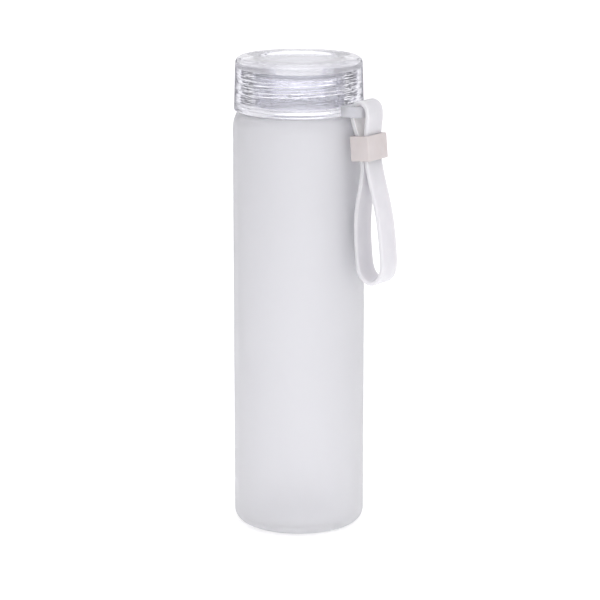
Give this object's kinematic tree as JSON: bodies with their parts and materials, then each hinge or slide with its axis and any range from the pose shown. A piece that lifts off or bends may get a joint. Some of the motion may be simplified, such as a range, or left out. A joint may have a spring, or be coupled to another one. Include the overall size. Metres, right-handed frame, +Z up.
{
  "type": "glass water bottle",
  "caption": "Slim frosted glass bottle with a thick clear screw cap, a seal ring, and a flat silicone carry loop held in an ear on the cap by a sliding sleeve.",
  "frame": {"origin": "where the bottle's axis meets the surface it stands on", "axes": "+Z up along the bottle's axis, +X towards the ear that holds the strap"},
  "size_m": [0.0838, 0.063, 0.228],
  "materials": {
    "frosted_glass": "acid frosted outside, clear neck",
    "seal_silicone": "translucent satin",
    "clear_plastic": "polished clear plastic, faint cool tint",
    "strap_silicone": "matte, slightly translucent white",
    "ivory_plastic": "satin warm ivory"
  },
  "bodies": {
    "bottle": {"glass_bottle": "frosted_glass"},
    "seal": {"seal_ring": "seal_silicone"},
    "cap": {"screw_cap": "clear_plastic"},
    "strap": {"carry_strap": "strap_silicone"},
    "keeper": {"strap_keeper": "ivory_plastic"}
  },
  "joints": [
    {"name": "cap_lift", "type": "slide", "parent": "bottle", "child": "seal", "axis": [0, 0, 1], "range_m": [0, 0.02001]},
    {"name": "cap_turn", "type": "hinge", "parent": "seal", "child": "cap", "pos_m": [0, 0, 0.2025], "axis": [0, 0, 1], "range_deg": [0, 1440]},
    {"name": "strap_swing", "type": "hinge", "parent": "cap", "child": "strap", "pos_m": [0.0384, 0, 0.20528], "axis": [0, -1, 0], "range_deg": [-2, 165]},
    {"name": "keeper_slide", "type": "slide", "parent": "strap", "child": "keeper", "axis": [0.0854, 0, -0.9963], "range_m": [0, 0.006]}
  ],
  "couplings": [
    {"joint": "cap_lift", "follows": "cap_turn", "m_per_rad": 0.00079577}
  ]
}
